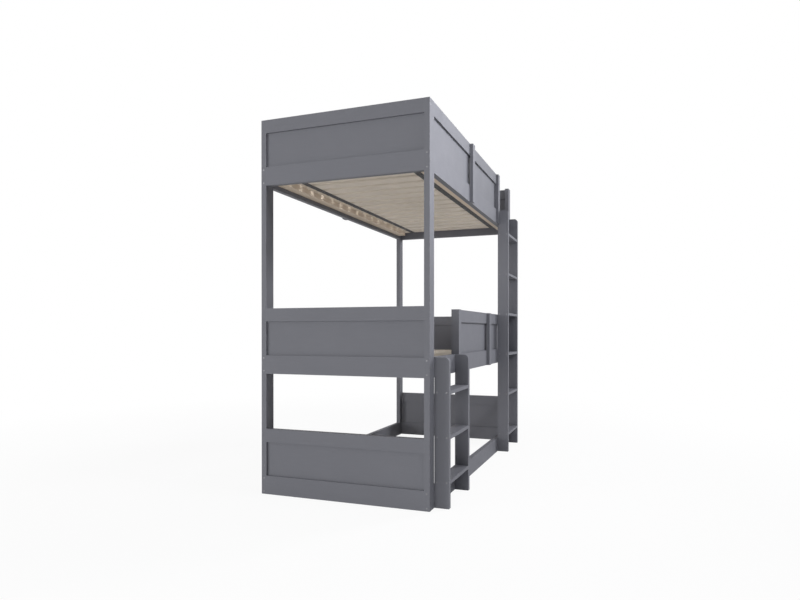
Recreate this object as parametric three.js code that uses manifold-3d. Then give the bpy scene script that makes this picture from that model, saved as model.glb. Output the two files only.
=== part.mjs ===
// Triple bunk bed: three bunks, one above the other, between four corner posts.
//
// The lowest bunk is a frame of boards on the floor. The middle and top bunks have slats on
// cleats, framed end boards and guards along both sides. Two upright ladders stand against the
// front: a short one to the middle bunk and a tall one to the top bunk.
//
// Millimetres, +Z up. The ladders are at the front, +X. Seen from there, the left end of the bed
// is at -Y and the right end at +Y. The origin is on the floor, under the middle of the whole.

import * as THREE from 'three';
import { mergeVertices } from 'three/addons/utils/BufferGeometryUtils.js';
import Module from 'manifold-3d';

// Bed frame, without the ladders.
const bedLength = 2080;
const bedWidth = 980;
const bedHeight = 2060;

// Corner posts: a flat board's section, with its long side along the bed.
const postWidth = 30;
const postDepth = 70;

// Every board of the frame: the rails of the ends, the sides and the guards.
const boardThickness = 30;
const boardHeight = 360;
const topRailHeight = 72;
const bottomRailHeight = 102;
const middleBunkHeight = 664;

// Thin panels, let into grooves in the rails.
const panelThickness = 6;
const grooveDepth = 8;
const fitClearance = 0.3;

// Battens on the outside of the guards, and the stile that ends a guard at its ladder.
const battenWidth = 50;
const battenThickness = 19;
const endStileWidth = 50;
const endStileProjection = 15;

// Cleats along the side rails, and the slats that lie on them.
const cleatWidth = 58;
const cleatHeight = 30;
const cleatEndMargin = 20;
const cleatRise = 24;
const slatCount = 16;
const slatWidth = 90;
const slatThickness = 24;
const slatFieldMargin = 10;
const slatEndClearance = 5;

// Two straps under the slats hold them at their distance.
const strapWidth = 40;
const strapThickness = 2;
const strapSetIn = 88.5;
const strapEndMargin = 12;

// Ladders: two stiles against the frame, and flat treads between them.
const entryWidth = 410;
const ladderPostGap = 4;
const ladderGuardGap = 1;
const stileThickness = 28;
const stileDepth = 78;
const stileCornerRadius = 25;
const treadThickness = 18;
const firstTreadTop = 140;
const lastTreadDrop = 170;
const shortLadderTreadCount = 3;
const tallLadderTreadCount = 6;

// Facets of a rounded corner.
const cornerSegments = 8;

// How far a cutter runs past the face that it opens.
const cutOverrun = 5;

// Heights of the undersides of the three bunks' boards.
const topBunkHeight = bedHeight - boardHeight;
const bunkHeights = { low: 0, middle: middleBunkHeight, top: topBunkHeight };

// Faces and lengths that several pieces share.
const frontFace = bedWidth / 2;
const endFace = bedLength / 2;
const innerWidth = bedWidth - 2 * boardThickness;
const innerLength = bedLength - 2 * boardThickness;
const endBoardLength = bedWidth - 2 * postWidth;
const sideRailLength = bedLength - 2 * postDepth;
const postInnerFace = sideRailLength / 2;
const guardFreeEnd = postInnerFace - entryWidth;
const ladderWidth = entryWidth - ladderPostGap - ladderGuardGap;
const slatUnderside = cleatRise + cleatHeight;

const paint = { color: 0x6f7177, roughness: 0.45, metalness: 0.0 };
const pine = { color: 0xd9c19a, roughness: 0.6, metalness: 0.0 };

const wasm = await Module();
wasm.setup();

function addMesh(group, name, geometry, finish) {
  const mesh = new THREE.Mesh(geometry, new THREE.MeshStandardMaterial(finish));
  mesh.name = name;
  group.add(mesh);
  return mesh;
}

// A box between two opposite corners.
function boxBetween(low, high) {
  const size = high.map((value, axis) => value - low[axis]);
  const geometry = new THREE.BoxGeometry(...size);
  geometry.translate(...low.map((value, axis) => value + size[axis] / 2));
  return geometry;
}

function toSolid(geometry) {
  const bare = geometry.clone();
  bare.deleteAttribute('normal');
  bare.deleteAttribute('uv');
  const merged = mergeVertices(bare);
  const vertProperties = new Float32Array(merged.attributes.position.array);
  const triVerts = new Uint32Array(merged.index.array);
  return new wasm.Manifold(new wasm.Mesh({ numProp: 3, vertProperties, triVerts }));
}

function toGeometry(solid) {
  const { vertProperties, triVerts, numProp } = solid.getMesh();
  const geometry = new THREE.BufferGeometry();
  geometry.setAttribute('position', new THREE.BufferAttribute(vertProperties, numProp));
  geometry.setIndex(new THREE.BufferAttribute(triVerts, 1));
  geometry.computeVertexNormals();
  return geometry;
}

// A board's pieces lie along X, centred on the board's thickness, with the board's underside at
// zero height. The groove in a rail is as long as the panel that it holds.
function railGeometry(rail, panel, grooveLow, grooveHigh) {
  const body = boxBetween(
    [rail.from, -boardThickness / 2, rail.low],
    [rail.to, boardThickness / 2, rail.high],
  );
  const grooveHalf = panelThickness / 2 + fitClearance;
  const groove = boxBetween(
    [panel.from, -grooveHalf, grooveLow],
    [panel.to, grooveHalf, grooveHigh],
  );
  return toGeometry(toSolid(body).subtract(toSolid(groove)));
}

// A panel between a top rail and a bottom rail. The bottom rail may be longer than the rest.
function framedBoard(names, upper, lower) {
  const group = new THREE.Group();
  const topRailLow = boardHeight - topRailHeight;
  const cutPast = {
    from: upper.from - (upper.from === lower.from ? cutOverrun : 0),
    to: upper.to + (upper.to === lower.to ? cutOverrun : 0),
  };
  const cutAll = { from: upper.from - cutOverrun, to: upper.to + cutOverrun };

  const topRail = { ...upper, low: topRailLow, high: boardHeight };
  const topGroove = topRailLow + grooveDepth;
  addMesh(group, names.topRail, railGeometry(topRail, cutAll, topRailLow - cutOverrun, topGroove), paint);

  const panel = boxBetween(
    [upper.from + fitClearance, -panelThickness / 2, bottomRailHeight - grooveDepth + fitClearance],
    [upper.to - fitClearance, panelThickness / 2, topGroove - fitClearance],
  );
  addMesh(group, names.panel, panel, paint);

  const bottomRail = { ...lower, low: 0, high: bottomRailHeight };
  const bottomGroove = bottomRailHeight - grooveDepth;
  const bottomCut = bottomRailHeight + cutOverrun;
  addMesh(group, names.bottomRail, railGeometry(bottomRail, cutPast, bottomGroove, bottomCut), paint);
  return group;
}

function buildPosts(bed) {
  for (const [end, ySide] of [['left', -1], ['right', 1]]) {
    for (const [side, xSide] of [['front', 1], ['back', -1]]) {
      const geometry = boxBetween(
        [-postWidth / 2, -postDepth / 2, 0],
        [postWidth / 2, postDepth / 2, bedHeight],
      );
      const post = addMesh(bed, `post_${end}_${side}`, geometry, paint);
      post.position.set(xSide * (frontFace - postWidth / 2), ySide * (endFace - postDepth / 2), 0);
    }
  }
}

function buildEndBoards(bed) {
  const span = { from: -endBoardLength / 2, to: endBoardLength / 2 };
  for (const [end, ySide] of [['left', -1], ['right', 1]]) {
    for (const [level, height] of Object.entries(bunkHeights)) {
      const stem = `${end}_end_${level}`;
      const names = {
        topRail: `${stem}_top_rail`,
        panel: `${stem}_panel`,
        bottomRail: `${stem}_bottom_rail`,
      };
      const board = framedBoard(names, span, span);
      board.position.set(0, ySide * (endFace - boardThickness / 2), height);
      bed.add(board);
    }
  }
}

// The lowest bunk has side rails only.
function buildLowSideRails(bed) {
  for (const [side, xSide] of [['front', 1], ['back', -1]]) {
    const geometry = boxBetween(
      [-boardThickness / 2, -postInnerFace, 0],
      [boardThickness / 2, postInnerFace, bottomRailHeight],
    );
    const rail = addMesh(bed, `${side}_side_rail_low`, geometry, paint);
    rail.position.x = xSide * (frontFace - boardThickness / 2);
  }
}

function guardNames(side, level) {
  return {
    topRail: `${side}_guard_${level}_top_rail`,
    panel: `${side}_guard_${level}_panel`,
    bottomRail: `${side}_side_rail_${level}`,
  };
}

function battenGeometry() {
  return boxBetween(
    [0, -battenWidth / 2, 0],
    [battenThickness, battenWidth / 2, boardHeight],
  );
}

// The middle back batten is one piece with its side rail, because the part may have no more nodes.
function joinBatten(rail) {
  const batten = boxBetween(
    [-battenWidth / 2, boardThickness / 2, 0],
    [battenWidth / 2, boardThickness / 2 + battenThickness, boardHeight],
  );
  rail.geometry = toGeometry(toSolid(rail.geometry).add(toSolid(batten)));
}

// A back guard runs from post to post. Its outer face is at the board's +Y side before it turns.
function buildBackGuard(bed, level) {
  const span = { from: -postInnerFace, to: postInnerFace };
  const names = guardNames('back', level);
  const guard = framedBoard(names, span, span);
  if (level === 'middle') joinBatten(guard.getObjectByName(names.bottomRail));
  guard.rotation.z = Math.PI / 2;
  guard.position.set(boardThickness / 2 - frontFace, 0, bunkHeights[level]);
  bed.add(guard);
}

function buildBackBatten(bed, level) {
  const batten = addMesh(bed, `back_guard_${level}_batten`, battenGeometry(), paint);
  batten.position.set(-frontFace - battenThickness, 0, bunkHeights[level]);
}

// The stile at a guard's free end stands on the side rail and laps over its outer face.
function endStileGeometry() {
  const outline = new THREE.Shape([
    new THREE.Vector2(0, 0),
    new THREE.Vector2(endStileProjection, 0),
    new THREE.Vector2(endStileProjection, boardHeight),
    new THREE.Vector2(-boardThickness, boardHeight),
    new THREE.Vector2(-boardThickness, bottomRailHeight),
    new THREE.Vector2(0, bottomRailHeight),
  ]);
  return uprightExtrusion(outline, endStileWidth);
}

// An outline in the XZ plane, given depth along Y and centred on it.
function uprightExtrusion(outline, depth) {
  const geometry = new THREE.ExtrudeGeometry(outline, {
    depth,
    bevelEnabled: false,
    curveSegments: cornerSegments,
  });
  geometry.translate(0, 0, -depth / 2);
  geometry.rotateX(Math.PI / 2);
  return geometry;
}

// A front guard leaves an entry beside one post: entrySide is that post's side along Y.
function buildFrontGuard(bed, level, entrySide) {
  const stileInner = guardFreeEnd - endStileWidth;
  const guard = framedBoard(
    guardNames('front', level),
    { from: -postInnerFace, to: stileInner },
    { from: -postInnerFace, to: postInnerFace },
  );
  const height = bunkHeights[level];
  guard.rotation.z = entrySide * Math.PI / 2;
  guard.position.set(frontFace - boardThickness / 2, 0, height);
  bed.add(guard);

  const endStile = addMesh(bed, `front_guard_${level}_end_stile`, endStileGeometry(), paint);
  endStile.position.set(frontFace, entrySide * (guardFreeEnd - endStileWidth / 2), height);

  const batten = addMesh(bed, `front_guard_${level}_batten`, battenGeometry(), paint);
  batten.position.set(frontFace, entrySide * (stileInner - postInnerFace) / 2, height);
}

function buildCleats(bed, level) {
  const railInnerFace = innerWidth / 2;
  const cleatEnd = postInnerFace - cleatEndMargin;
  for (const [side, xSide] of [['front', 1], ['back', -1]]) {
    const geometry = boxBetween(
      [-cleatWidth / 2, -cleatEnd, 0],
      [cleatWidth / 2, cleatEnd, cleatHeight],
    );
    const cleat = addMesh(bed, `${side}_cleat_${level}`, geometry, pine);
    const height = bunkHeights[level] + cleatRise;
    cleat.position.set(xSide * (railInnerFace - cleatWidth / 2), 0, height);
  }
}

// Slats over two straps, as one roll.
function slatBaseGeometry() {
  const slatHalf = innerWidth / 2 - slatEndClearance;
  const fieldEnd = innerLength / 2 - slatFieldMargin;
  const slatPitch = (2 * fieldEnd - slatWidth) / (slatCount - 1);
  const strapEnd = fieldEnd - strapEndMargin;
  const parts = [];
  for (let i = 0; i < slatCount; i += 1) {
    const start = i * slatPitch - fieldEnd;
    parts.push(boxBetween([-slatHalf, start, 0], [slatHalf, start + slatWidth, slatThickness]));
  }
  for (const xSide of [-1, 1]) {
    const middle = xSide * (slatHalf - strapSetIn - strapWidth / 2);
    parts.push(boxBetween(
      [middle - strapWidth / 2, -strapEnd, -strapThickness],
      [middle + strapWidth / 2, strapEnd, 0],
    ));
  }
  return toGeometry(parts.map(toSolid).reduce((whole, part) => whole.add(part)));
}

function buildSlatBase(bed, level) {
  const base = addMesh(bed, `slat_base_${level}`, slatBaseGeometry(), pine);
  base.position.z = bunkHeights[level] + slatUnderside;
}

// The side of a stile, from the rail's face outwards: the corner at its top is rounded.
function stileOutline(height) {
  const outline = new THREE.Shape();
  outline.moveTo(0, 0);
  outline.lineTo(stileDepth, 0);
  outline.lineTo(stileDepth, height - stileCornerRadius);
  const cornerX = stileDepth - stileCornerRadius;
  outline.absarc(cornerX, height - stileCornerRadius, stileCornerRadius, 0, Math.PI / 2, false);
  outline.lineTo(0, height);
  return outline;
}

// A ladder's top is level with the side rail of the bunk that it leads to.
function buildLadder(bed, name, treadCount, level, entrySide) {
  const height = bunkHeights[level] + bottomRailHeight;
  const ladder = new THREE.Group();
  const stileOffset = (ladderWidth - stileThickness) / 2;
  for (const [end, ySide] of [['left', -1], ['right', 1]]) {
    const geometry = uprightExtrusion(stileOutline(height), stileThickness);
    const stile = addMesh(ladder, `${name}_${end}_stile`, geometry, paint);
    stile.position.y = ySide * stileOffset;
  }

  const treadHalf = ladderWidth / 2 - stileThickness;
  const treadPitch = (height - lastTreadDrop - firstTreadTop) / (treadCount - 1);
  for (let i = 0; i < treadCount; i += 1) {
    const geometry = boxBetween(
      [0, -treadHalf, -treadThickness],
      [stileDepth, treadHalf, 0],
    );
    const tread = addMesh(ladder, `${name}_tread_${i + 1}`, geometry, paint);
    tread.position.z = firstTreadTop + i * treadPitch;
  }
  const middle = postInnerFace - ladderPostGap - ladderWidth / 2;
  ladder.position.set(frontFace, entrySide * middle, 0);
  bed.add(ladder);
}

function buildBed() {
  const bed = new THREE.Group();
  buildPosts(bed);
  buildEndBoards(bed);
  buildLowSideRails(bed);
  for (const level of ['middle', 'top']) {
    buildBackGuard(bed, level);
    buildCleats(bed, level);
    buildSlatBase(bed, level);
  }
  buildBackBatten(bed, 'top');
  buildFrontGuard(bed, 'middle', -1);
  buildFrontGuard(bed, 'top', 1);
  buildLadder(bed, 'short_ladder', shortLadderTreadCount, 'middle', -1);
  buildLadder(bed, 'tall_ladder', tallLadderTreadCount, 'top', 1);
  return bed;
}

// The ladders reach further to the front than the battens do to the back, so the frame's own
// middle lies behind the origin.
const bed = buildBed();
bed.position.x = (battenThickness - stileDepth) / 2;
const part = new THREE.Group();
part.add(bed);

export default part;
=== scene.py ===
"""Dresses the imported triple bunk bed: painted boards, pine slats on woven straps, and screw heads.

Metres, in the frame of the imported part: +Z up, +Y along the bed, +X towards the ladders.
"""

import math

import bmesh
import bpy
from mathutils import Matrix, Vector


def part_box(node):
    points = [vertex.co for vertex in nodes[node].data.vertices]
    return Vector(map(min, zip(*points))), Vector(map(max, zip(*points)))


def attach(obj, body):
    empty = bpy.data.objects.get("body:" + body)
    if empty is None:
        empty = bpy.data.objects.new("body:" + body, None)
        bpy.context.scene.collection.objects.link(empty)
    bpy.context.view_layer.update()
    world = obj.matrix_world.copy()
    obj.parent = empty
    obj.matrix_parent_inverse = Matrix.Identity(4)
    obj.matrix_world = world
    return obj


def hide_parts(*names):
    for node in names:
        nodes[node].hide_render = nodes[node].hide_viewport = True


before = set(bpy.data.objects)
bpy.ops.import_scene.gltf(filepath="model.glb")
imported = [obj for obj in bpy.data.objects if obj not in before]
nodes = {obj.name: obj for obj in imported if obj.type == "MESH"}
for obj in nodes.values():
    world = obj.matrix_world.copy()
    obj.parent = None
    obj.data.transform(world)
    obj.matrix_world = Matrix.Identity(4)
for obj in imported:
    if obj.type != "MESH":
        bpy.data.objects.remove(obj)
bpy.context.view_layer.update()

# Camera, fitted to the photo's straight edges
FOCAL_PX, IMAGE_WIDTH = 592.7, 800
SENSOR_WIDTH_MM = 36.0
CAMERA_AT = (1.3974, -3.8284, 0.8971)
CAMERA_YAW, CAMERA_DIP = math.radians(20.09), 0.0042
SHIFT_X, SHIFT_Y = -0.0175, 0.0424
CLIP_START, CLIP_END = 0.05, 100.0


def add_camera():
    data = bpy.data.cameras.new("camera")
    data.sensor_fit = "HORIZONTAL"
    data.sensor_width = SENSOR_WIDTH_MM
    data.lens = FOCAL_PX / IMAGE_WIDTH * SENSOR_WIDTH_MM
    data.shift_x, data.shift_y = SHIFT_X, SHIFT_Y
    data.clip_start, data.clip_end = CLIP_START, CLIP_END
    camera = bpy.data.objects.new("camera", data)
    camera.location = CAMERA_AT
    camera.rotation_euler = (math.pi / 2 - CAMERA_DIP, 0, CAMERA_YAW)
    bpy.context.collection.objects.link(camera)
    bpy.context.scene.camera = camera


# Node trees
class Tree:
    """The nodes of a material or a world, added and joined by short calls."""

    def __init__(self, owner):
        owner.use_nodes = True
        self.nodes = owner.node_tree.nodes
        self.links = owner.node_tree.links
        self.nodes.clear()

    def add(self, kind, values=None, **settings):
        """A node with its settings, each input joined to a socket or set to a value."""
        node = self.nodes.new(kind)
        for key, value in settings.items():
            setattr(node, key, value)
        for key, value in (values or {}).items():
            if isinstance(value, bpy.types.NodeSocket):
                self.links.new(value, node.inputs[key])
            else:
                node.inputs[key].default_value = value
        return node

    def here(self):
        """The object's own coordinates, in metres."""
        return self.add("ShaderNodeTexCoord").outputs["Object"]

    def math(self, operation, *values, clamp=False):
        return self.add(
            "ShaderNodeMath", dict(enumerate(values)), operation=operation, use_clamp=clamp
        ).outputs[0]

    def vector(self, operation, values, output=0):
        return self.add("ShaderNodeVectorMath", values, operation=operation).outputs[output]

    def spread(self, value, low, high, to_low=0.0, to_high=1.0, curve="LINEAR"):
        """Takes low to to_low and high to to_high, and goes no farther than these."""
        values = {
            "Value": value,
            "From Min": low,
            "From Max": high,
            "To Min": to_low,
            "To Max": to_high,
        }
        return self.add("ShaderNodeMapRange", values, interpolation_type=curve).outputs["Result"]

    def seen_rays(self):
        """1 where the camera, a reflection or a transparent surface looks, 0 for light."""
        path = self.add("ShaderNodeLightPath").outputs
        total = path["Is Camera Ray"]
        for name in ("Is Glossy Ray", "Is Transmission Ray"):
            total = self.math("ADD", total, path[name], clamp=True)
        return total


# Sockets of a mix node when it mixes colours
MIX_FACTOR, MIX_FIRST, MIX_SECOND, MIX_RESULT = 0, 6, 7, 2
PATCH_STEPS = (17.0, 31.0, 23.0)
EDGE_SAMPLES = 4


class Graph(Tree):
    """The nodes of a surface, around one principled shader."""

    def __init__(self, name):
        self.material = bpy.data.materials.new(name)
        super().__init__(self.material)
        self.shader = self.add("ShaderNodeBsdfPrincipled")
        self.add("ShaderNodeOutputMaterial", {"Surface": self.shader.outputs[0]})

    def mix(self, factor, first, second, blend="MIX"):
        values = {MIX_FACTOR: factor, MIX_FIRST: first, MIX_SECOND: second}
        mixed = self.add("ShaderNodeMix", values, data_type="RGBA", blend_type=blend)
        return mixed.outputs[MIX_RESULT]

    def shade(self, color, level, tint=(1.0, 1.0, 1.0)):
        """The colour times a level, and times a fixed tint."""
        parts = {i: self.math("MULTIPLY", level, share) for i, share in enumerate(tint)}
        factor = self.add("ShaderNodeCombineColor", parts).outputs[0]
        return self.mix(1.0, color, factor, "MULTIPLY")

    def noise(self, vector, scale, detail=3.0, roughness=0.5, distortion=0.0):
        values = {
            "Vector": vector,
            "Scale": scale,
            "Detail": detail,
            "Roughness": roughness,
            "Distortion": distortion,
        }
        return self.add("ShaderNodeTexNoise", values).outputs["Fac"]

    def place(self, along, stretch):
        """The piece's own random share, coordinates on a patch that this share picks, and the
        same coordinates drawn out along the grain."""
        own = self.add("ShaderNodeObjectInfo").outputs["Random"]
        steps = self.add("ShaderNodeCombineXYZ", dict(enumerate(PATCH_STEPS))).outputs[0]
        offset = self.vector("SCALE", {0: steps, "Scale": own})
        moved = self.vector("ADD", {0: self.here(), 1: offset})
        factors = [stretch if axis == along else 1.0 for axis in "XYZ"]
        return own, moved, self.vector("MULTIPLY", {0: moved, 1: factors})

    def edges(self, radius, flat, turned):
        """0 on a flat face, up to 1 along its rounded edges. These are where the cosine between
        the rounded and the true normal has fallen to flat, and on to turned."""
        rounded = self.add("ShaderNodeBevel", {"Radius": radius}, samples=EDGE_SAMPLES).outputs[0]
        true = self.add("ShaderNodeNewGeometry").outputs["True Normal"]
        cosine = self.vector("DOT_PRODUCT", {0: rounded, 1: true}, "Value")
        return self.spread(cosine, flat, turned)

    def bump(self, height, distance, strength, below=None):
        values = {"Height": height, "Distance": distance, "Strength": strength}
        if below is not None:
            values["Normal"] = below
        return self.add("ShaderNodeBump", values).outputs[0]

    def finish(self, color, roughness, normal, **uniform):
        """Joins the shader's inputs, sets the uniform ones, and gives the material."""
        for name, value in (("Base Color", color), ("Roughness", roughness), ("Normal", normal)):
            self.links.new(value, self.shader.inputs[name])
        for name, value in uniform.items():
            self.shader.inputs[name.replace("_", " ")].default_value = value
        return self.material


# Materials
PAINT = (0.158, 0.161, 0.180, 1.0)
PAINT_DARK = (0.154, 0.157, 0.176, 1.0)
PAINT_EDGE = (0.205, 0.208, 0.228, 1.0)
PAINT_EDGE_WIDTH, PAINT_EDGE_SHARE = 0.0025, 0.6


def paint_material(along):
    """Sprayed grey paint over wood: faint grain below it, a fine peel, and paler edges, partly worn
    paint and partly a painted highlight.
    """
    graph = Graph(f"grey_paint_{along.lower()}")
    own, here, drawn = graph.place(along, stretch=0.06)
    grain = graph.noise(drawn, scale=150.0, detail=5.0, roughness=0.6)
    cloud = graph.noise(here, scale=3.5, detail=2.0)
    rub_and_glint_noise = graph.noise(here, scale=60.0)
    mist = graph.noise(here, scale=14.0, detail=4.0)
    peel = graph.noise(here, scale=900.0, detail=1.0)
    color = graph.mix(graph.spread(cloud, low=0.35, high=0.65), PAINT_DARK, PAINT)
    streak = graph.spread(grain, low=0.3, high=0.7, to_low=0.985, to_high=1.015)
    piece = graph.spread(own, low=0.0, high=1.0, to_low=0.985, to_high=1.015)
    color = graph.shade(color, graph.math("MULTIPLY", streak, piece))
    # Paler edges: partly worn paint, partly a painted highlight where light catches the rounded
    # edges.
    edge = graph.edges(PAINT_EDGE_WIDTH, flat=0.995, turned=0.86)
    wear_and_glint = graph.spread(rub_and_glint_noise, low=0.35, high=0.6, to_low=0.35, to_high=1.0)
    worn_and_glinting_edge = graph.math("MULTIPLY", edge, wear_and_glint)
    color = graph.mix(graph.math("MULTIPLY", worn_and_glinting_edge, PAINT_EDGE_SHARE), color, PAINT_EDGE)
    roughness = graph.spread(mist, low=0.3, high=0.7, to_low=0.56, to_high=0.62)
    fine = graph.bump(peel, distance=0.0002, strength=0.05)
    normal = graph.bump(grain, distance=0.0004, strength=0.06, below=fine)
    return graph.finish(color, roughness, normal, Specular_IOR_Level=0.17)


PINE = (0.740, 0.662, 0.563, 1.0)
PINE_PALE = (0.765, 0.690, 0.592, 1.0)
PINE_RING = (0.650, 0.558, 0.446, 1.0)
PINE_KNOT = (0.340, 0.225, 0.140, 1.0)
RING_SHARE, KNOT_SHARE = 0.18, 0.35
KNOT_SCALE, KNOT_EDGE, KNOT_CORE = 7.0, 0.085, 0.045
# The cleats' tint darkens and browns their pine as painted shade, for faces that sit in shadow under
# the slats.
SLAT_TINT, CLEAT_SHADE_TINT = (1.0, 1.0, 1.0), (0.90, 0.84, 0.77)


def pine_material(along, tint):
    """Planed raw pine: growth rings cut lengthwise, fine pores, and a knot here and there."""
    graph = Graph(f"pine_{along.lower()}")
    own, _, drawn = graph.place(along, stretch=0.09)
    bend = graph.noise(drawn, scale=9.0, detail=2.0)
    rings = graph.noise(drawn, scale=55.0, detail=4.0, roughness=0.55, distortion=0.6)
    pores = graph.noise(drawn, scale=420.0, detail=3.0, roughness=0.7)
    spots = graph.add("ShaderNodeTexVoronoi", {"Vector": drawn, "Scale": KNOT_SCALE})
    color = graph.mix(graph.spread(bend, low=0.3, high=0.7), PINE_PALE, PINE)
    dark = graph.spread(rings, low=0.47, high=0.68)
    color = graph.mix(graph.math("MULTIPLY", dark, RING_SHARE), color, PINE_RING)
    piece = graph.spread(own, low=0.0, high=1.0, to_low=0.98, to_high=1.02)
    speck = graph.spread(pores, low=0.25, high=0.75, to_low=0.98, to_high=1.02)
    color = graph.shade(color, graph.math("MULTIPLY", piece, speck), tint)
    knot = graph.spread(spots.outputs["Distance"], KNOT_EDGE, KNOT_CORE)
    color = graph.mix(graph.math("MULTIPLY", knot, KNOT_SHARE), color, PINE_KNOT)
    roughness = graph.spread(pores, low=0.3, high=0.7, to_low=0.56, to_high=0.68)
    fine = graph.bump(pores, distance=0.0003, strength=0.10)
    normal = graph.bump(rings, distance=0.0006, strength=0.05, below=fine)
    return graph.finish(color, roughness, normal, Specular_IOR_Level=0.3)


WEBBING_DARK, WEBBING_PALE = (0.016, 0.016, 0.017, 1.0), (0.040, 0.040, 0.042, 1.0)
WEAVE_ACROSS, WEAVE_ALONG, LINT_SHARE = 0.0022, 0.0030, 0.6


def webbing_material():
    """Flat woven strap: a plain weave in dark grey polypropylene."""
    graph = Graph("webbing")
    here = graph.here()
    across, along, _ = graph.add("ShaderNodeSeparateXYZ", {0: here}).outputs
    waves = [
        graph.math("SINE", graph.math("MULTIPLY", way, math.tau / pitch))
        for way, pitch in ((across, WEAVE_ACROSS), (along, WEAVE_ALONG))
    ]
    weave = graph.math("MULTIPLY", *waves)
    lint = graph.noise(here, scale=700.0, detail=2.0)
    height = graph.math("ADD", weave, graph.math("MULTIPLY", lint, LINT_SHARE))
    color = graph.mix(graph.spread(height, low=-0.7, high=1.4), WEBBING_DARK, WEBBING_PALE)
    roughness = graph.spread(lint, low=0.3, high=0.7, to_low=0.70, to_high=0.85)
    normal = graph.bump(height, distance=0.0004, strength=0.8)
    return graph.finish(color, roughness, normal, Sheen_Weight=0.15)


STEEL_DARK, STEEL_PALE = (0.17, 0.17, 0.18, 1.0), (0.25, 0.25, 0.26, 1.0)


def steel_material():
    """Zinc-plated screw heads, lightly scuffed."""
    graph = Graph("zinc_steel")
    scuff = graph.noise(graph.here(), scale=1200.0, detail=3.0, roughness=0.7)
    color = graph.mix(scuff, STEEL_DARK, STEEL_PALE)
    roughness = graph.spread(scuff, low=0.3, high=0.7, to_low=0.30, to_high=0.48)
    normal = graph.bump(scuff, distance=0.0001, strength=0.2)
    return graph.finish(color, roughness, normal, Metallic=1.0)


PAINTS = {axis: paint_material(axis) for axis in "XYZ"}
SLAT_PINE, SHADED_CLEAT_PINE = pine_material("X", SLAT_TINT), pine_material("Y", CLEAT_SHADE_TINT)
WEBBING = webbing_material()
STEEL = steel_material()

# CAD nodes
BOARD_EDGE, BOARD_EDGE_SEGMENTS = 0.0015, 2
LEAST_ROUNDED_TURN = math.radians(50)
UPRIGHT = ("post_", "stile", "batten")


def grain_axis(name):
    """The way the wood runs in a board: up in the upright ones, else along the longest side."""
    if any(word in name for word in UPRIGHT):
        return "Z"
    low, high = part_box(name)
    sides = [high[i] - low[i] for i in range(3)]
    return "XYZ"[sides.index(max(sides))]


def soften(piece, radius, segments):
    bevel = piece.modifiers.new("soft_edges", "BEVEL")
    bevel.width = radius
    bevel.segments = segments
    bevel.limit_method = "ANGLE"
    bevel.angle_limit = LEAST_ROUNDED_TURN
    bevel.harden_normals = True


def dress(node, material):
    node.data.materials.clear()
    node.data.materials.append(material)
    for polygon in node.data.polygons:
        polygon.use_smooth = False
    soften(node, BOARD_EDGE, BOARD_EDGE_SEGMENTS)


def dress_cad():
    """Pine, darkened as painted shade, on the cleats and paint on the other boards. The slat bases
    are replaced below.
    """
    for name, node in nodes.items():
        if "cleat" in name:
            dress(node, SHADED_CLEAT_PINE)
        elif not name.startswith("slat_base"):
            dress(node, PAINTS[grain_axis(name)])


# New pieces
def mesh_from(name, made):
    mesh = bpy.data.meshes.new(name)
    made.to_mesh(mesh)
    made.free()
    return mesh


def skin(made, rings):
    """Faces between each ring of points and the next, and a cap on the first and the last."""
    for first, second in zip(rings, rings[1:]):
        for i in range(len(first)):
            j = (i + 1) % len(first)
            made.faces.new((first[i], first[j], second[j], second[i]))
    made.faces.new(rings[0][::-1])
    made.faces.new(rings[-1])


def finish_piece(name, mesh, material, replaces=()):
    mesh.materials.append(material)
    piece = bpy.data.objects.new(name, mesh)
    bpy.context.collection.objects.link(piece)
    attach(piece, "root")
    if replaces:
        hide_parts(*replaces)
    return piece


# Slats and straps
SLATTED_LEVELS = ("middle", "top")
SLAT_COUNT, SLAT_WIDTH, SLAT_THICKNESS = 16, 0.090, 0.024
SLAT_EDGE, SLAT_EDGE_SEGMENTS = 0.003, 3
STRAP_WIDTH, STRAP_THICKNESS, STRAP_SET_IN = 0.040, 0.002, 0.0885
STRAP_MARGIN, STRAP_SAG = 0.012, 0.0012
SAG_SHARES = (0.0, 0.25, 0.5, 0.75, 1.0)


def slat_mesh(name, low, high):
    made = bmesh.new()
    bmesh.ops.create_cube(made, size=1.0)
    bmesh.ops.scale(made, vec=[high[i] - low[i] for i in range(3)], verts=made.verts)
    bmesh.ops.translate(made, vec=[(high[i] + low[i]) / 2 for i in range(3)], verts=made.verts)
    return mesh_from(name, made)


def strap_steps(low_y, high_y, slats):
    """Where the strap bends: its y and how far it has sagged there."""
    steps = [(low_y, 0.0)]
    for (_, start), (end, _) in zip(slats, slats[1:]):
        for share in SAG_SHARES:
            steps.append((start + (end - start) * share, STRAP_SAG * math.sin(math.pi * share)))
    steps.append((high_y, 0.0))
    return steps


def strap_mesh(name, middle, top, steps):
    """A strap that lies flat under each slat and sags a little between two of them."""
    thickness = STRAP_THICKNESS - STRAP_SAG
    made = bmesh.new()
    rings = []
    for y, drop in steps:
        ring = []
        for x_side, depth in ((-1, 0.0), (1, 0.0), (1, thickness), (-1, thickness)):
            x = middle + x_side * STRAP_WIDTH / 2
            ring.append(made.verts.new((x, y, top - drop - depth)))
        rings.append(ring)
    skin(made, rings)
    bmesh.ops.recalc_face_normals(made, faces=made.faces)
    return mesh_from(name, made)


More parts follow.
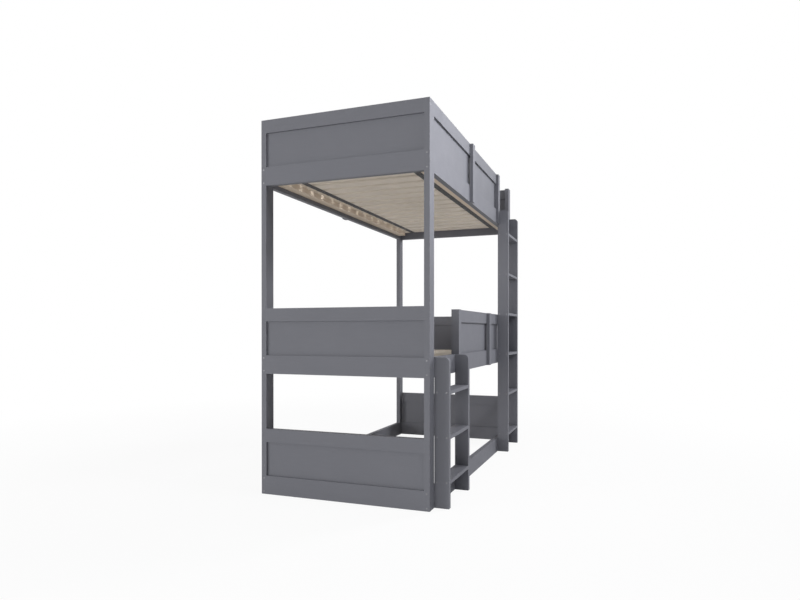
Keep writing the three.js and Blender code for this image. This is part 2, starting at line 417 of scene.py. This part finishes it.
def build_slat_base(level):
    """Separate slats and two straps in the place of the one solid that holds them in the CAD."""
    node = f"slat_base_{level}"
    low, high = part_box(node)
    bottom = high[2] - SLAT_THICKNESS
    pitch = (high[1] - low[1] - SLAT_WIDTH) / (SLAT_COUNT - 1)
    slats = [(low[1] + i * pitch, low[1] + i * pitch + SLAT_WIDTH) for i in range(SLAT_COUNT)]
    for i, (start, end) in enumerate(slats):
        name = f"slat_{level}_{i + 1:02d}"
        mesh = slat_mesh(name, (low[0], start, bottom), (high[0], end, high[2]))
        slat = finish_piece(name, mesh, SLAT_PINE, [node])
        soften(slat, SLAT_EDGE, SLAT_EDGE_SEGMENTS)
    steps = strap_steps(low[1] + STRAP_MARGIN, high[1] - STRAP_MARGIN, slats)
    set_in = STRAP_SET_IN + STRAP_WIDTH / 2
    for side, middle in (("back", low[0] + set_in), ("front", high[0] - set_in)):
        name = f"strap_{level}_{side}"
        mesh = strap_mesh(name, middle, bottom, steps)
        finish_piece(name, mesh, WEBBING, [node])


# Screw heads
HEAD_RADIUS, HEAD_HEIGHT, SOCKET_RADIUS, SOCKET_DEPTH = 0.0042, 0.0012, 0.0018, 0.0008
HEAD_SIDES = 24
HEAD_ANGLES = [math.tau * i / HEAD_SIDES for i in range(HEAD_SIDES)]
DOME_SHARES = ((1.0, 0.0), (1.0, 0.35), (0.93, 0.72), (0.80, 0.92), (0.58, 1.0))
HALF_FLAT_ANGLE = math.pi / 6


def add_ring(made, place, radii, height):
    """Points around a head's axis, each at its own radius."""
    ring = []
    for angle, radius in zip(HEAD_ANGLES, radii):
        point = Vector((radius * math.cos(angle), radius * math.sin(angle), height))
        ring.append(made.verts.new(place @ point))
    return ring


def socket_radius(angle):
    """From the axis to the side of a hexagon that has its corners at SOCKET_RADIUS."""
    from_middle = angle % (2 * HALF_FLAT_ANGLE) - HALF_FLAT_ANGLE
    return SOCKET_RADIUS * math.cos(HALF_FLAT_ANGLE) / math.cos(from_middle)


def add_head(made, at, outward):
    """A domed screw head with a hexagon socket, on a face at that point."""
    turn = Vector(outward).to_track_quat("Z", "Y").to_matrix().to_4x4()
    place = Matrix.Translation(Vector(at)) @ turn
    rings = []
    for out, up in DOME_SHARES:
        rings.append(add_ring(made, place, [HEAD_RADIUS * out] * HEAD_SIDES, HEAD_HEIGHT * up))
    socket_radii = [socket_radius(angle) for angle in HEAD_ANGLES]
    for height in (HEAD_HEIGHT, HEAD_HEIGHT - SOCKET_DEPTH):
        rings.append(add_ring(made, place, socket_radii, height))
    skin(made, rings)


def build_heads(name, places):
    made = bmesh.new()
    for at, outward in places:
        add_head(made, at, outward)
    bmesh.ops.recalc_face_normals(made, faces=made.faces)
    finish_piece(name, mesh_from(name, made), STEEL)


LEVELS = ("low", "middle", "top")
ENDS, SIDES = (("left", -1), ("right", 1)), (("front", 1), ("back", -1))
RAIL_BOLT_HEIGHTS = (0.015, 0.087)
BOARD_BOLT_SET_IN, BOARD_BOLT_TOP_DROP, BOARD_BOLT_RISE = 0.015, 0.036, 0.051
LADDERS = (("short_ladder", 3), ("tall_ladder", 6))
TREAD_BOLT_SET_IN = 0.013


def outer_face(name, axis, side):
    """Where a node's box ends towards that side of the axis."""
    low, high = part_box(name)
    return high[axis] if side > 0 else low[axis]


def post_bolts():
    """Two heads on each post at every side rail, and two at every end board."""
    places = []
    for end, y_side in ENDS:
        for side, x_side in SIDES:
            post = f"post_{end}_{side}"
            low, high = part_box(post)
            x_face, y_face = outer_face(post, 0, x_side), outer_face(post, 1, y_side)
            for level in LEVELS:
                rail_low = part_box(f"{side}_side_rail_{level}")[0]
                for rise in RAIL_BOLT_HEIGHTS:
                    at = ((low[0] + high[0]) / 2, y_face, rail_low[2] + rise)
                    places.append((at, (0, y_side, 0)))
                board_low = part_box(f"{end}_end_{level}_bottom_rail")[0]
                board_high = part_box(f"{end}_end_{level}_top_rail")[1]
                for z in (board_high[2] - BOARD_BOLT_TOP_DROP, board_low[2] + BOARD_BOLT_RISE):
                    at = (x_face, y_face - y_side * BOARD_BOLT_SET_IN, z)
                    places.append((at, (x_side, 0, 0)))
    return places


def ladder_bolts():
    """Two heads on each stile at every tread."""
    places = []
    for ladder, treads in LADDERS:
        for end, y_side in ENDS:
            y_face = outer_face(f"{ladder}_{end}_stile", 1, y_side)
            for i in range(treads):
                low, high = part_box(f"{ladder}_tread_{i + 1}")
                z = (low[2] + high[2]) / 2
                for x in (low[0] + TREAD_BOLT_SET_IN, high[0] - TREAD_BOLT_SET_IN):
                    places.append(((x, y_face, z), (0, y_side, 0)))
    return places


# Floor and background
SQUARE = ((-1, -1), (1, -1), (1, 1), (-1, 1))
FLOOR_HALF, FLOOR_GAP = 30.0, 0.0005
FLOOR_COLOR, WHITE = (0.88, 0.88, 0.88, 1.0), (1.0, 1.0, 1.0, 1.0)
WHITE_SHARE = 0.92
SHADOW_REACH, SHADOW_END = 1.6, 5.0
SKY_START, SKY_FULL, SKY_TOP = 0.25, 0.85, 0.57


def floor_material():
    """Pale and matt with the bed's shadow on it, and plain white to the eye farther away."""
    material = bpy.data.materials.new("floor")
    tree = Tree(material)
    matt = tree.add("ShaderNodeBsdfDiffuse", {"Color": FLOOR_COLOR}).outputs[0]
    glow = tree.add("ShaderNodeEmission", {"Strength": 1.0}).outputs[0]
    away = tree.vector("LENGTH", {0: tree.here()}, "Value")
    white = tree.spread(
        away, SHADOW_REACH, SHADOW_END, to_low=WHITE_SHARE, to_high=1.0, curve="SMOOTHSTEP"
    )
    share = tree.math("MULTIPLY", tree.seen_rays(), white)
    surface = tree.add("ShaderNodeMixShader", {0: share, 1: matt, 2: glow}).outputs[0]
    tree.add("ShaderNodeOutputMaterial", {"Surface": surface})
    return material


def add_floor():
    mesh = bpy.data.meshes.new("floor")
    corners = [(x * FLOOR_HALF, y * FLOOR_HALF, 0) for x, y in SQUARE]
    mesh.from_pydata(corners, [], [(0, 1, 2, 3)])
    mesh.materials.append(floor_material())
    floor = bpy.data.objects.new("floor", mesh)
    floor.location.z = -FLOOR_GAP
    bpy.context.collection.objects.link(floor)


def add_world():
    """White to the eye and in reflections. As a light it comes softly from above."""
    world = bpy.data.worlds.new("world")
    tree = Tree(world)
    way = tree.add("ShaderNodeTexCoord").outputs["Generated"]
    height = tree.add("ShaderNodeSeparateXYZ", {0: way}).outputs["Z"]
    light = tree.spread(
        height, SKY_START, SKY_FULL, to_low=0.0, to_high=SKY_TOP, curve="SMOOTHSTEP"
    )
    strength = tree.spread(tree.seen_rays(), low=0.0, high=1.0, to_low=light, to_high=1.0)
    surface = tree.add("ShaderNodeBackground", {"Color": WHITE, "Strength": strength}).outputs[0]
    tree.add("ShaderNodeOutputWorld", {"Surface": surface})
    bpy.context.scene.world = world


# Lamps
BED_MIDDLE = Vector((0.0, 0.0, 1.0))
NEAR_CORNER, CORNER_LAMP_AT = Vector((0.46, -1.0, 1.9)), Vector((2.3, -1.0, 2.5))
BACK_CLEAT, STRIP_AT = Vector((-0.45, 0.0, 1.74)), Vector((0.35, 0.1, 2.85))
NEUTRAL, COOL = (1.0, 1.0, 1.0), (0.98, 0.985, 1.04)
OPEN_SPREAD = 180.0


def around(azimuth, elevation, distance):
    """A place at that distance from the bed's middle. Azimuth runs from +Y towards +X."""
    azimuth, elevation = math.radians(azimuth), math.radians(elevation)
    direction = Vector(
        (
            math.sin(azimuth) * math.cos(elevation),
            math.cos(azimuth) * math.cos(elevation),
            math.sin(elevation),
        )
    )
    return BED_MIDDLE + direction * distance


def add_softbox(name, at, aim, size, watts, color=COOL, spread=OPEN_SPREAD, width=None):
    """A round softbox, or with a width a strip. A small spread stands for a grid in front of it."""
    data = bpy.data.lights.new(name, "AREA")
    data.shape = "RECTANGLE" if width else "DISK"
    data.size = size
    data.size_y = width or size
    data.energy = watts
    data.color = color
    data.spread = math.radians(spread)
    lamp = bpy.data.objects.new(name, data)
    lamp.location = at
    lamp.rotation_euler = (at - aim).to_track_quat("Z", "Y").to_euler()
    bpy.context.collection.objects.link(lamp)


def add_lamps():
    """A key light, a brighter near corner, two fronts, and light down through the slats' gaps."""
    key_at = around(azimuth=45, elevation=25, distance=7.0)
    add_softbox("key", key_at, BED_MIDDLE, size=1.6, watts=252)
    add_softbox("corner", CORNER_LAMP_AT, NEAR_CORNER, size=0.6, watts=21, spread=135.0)
    for name, azimuth, watts in (("front_right", 180, 375), ("front_left", 220, 410)):
        front_at = around(azimuth, elevation=6, distance=12.0)
        add_softbox(name, front_at, BED_MIDDLE, size=4.0, watts=watts, color=NEUTRAL)
    add_softbox("strip", STRIP_AT, BACK_CLEAT, size=2.4, watts=2.6, spread=35.0, width=0.3)


add_camera()
dress_cad()
for level in SLATTED_LEVELS:
    build_slat_base(level)
build_heads("bolts_posts", post_bolts())
build_heads("bolts_ladders", ladder_bolts())
add_floor()
add_world()
add_lamps()
bpy.context.scene.view_settings.view_transform = "Standard"
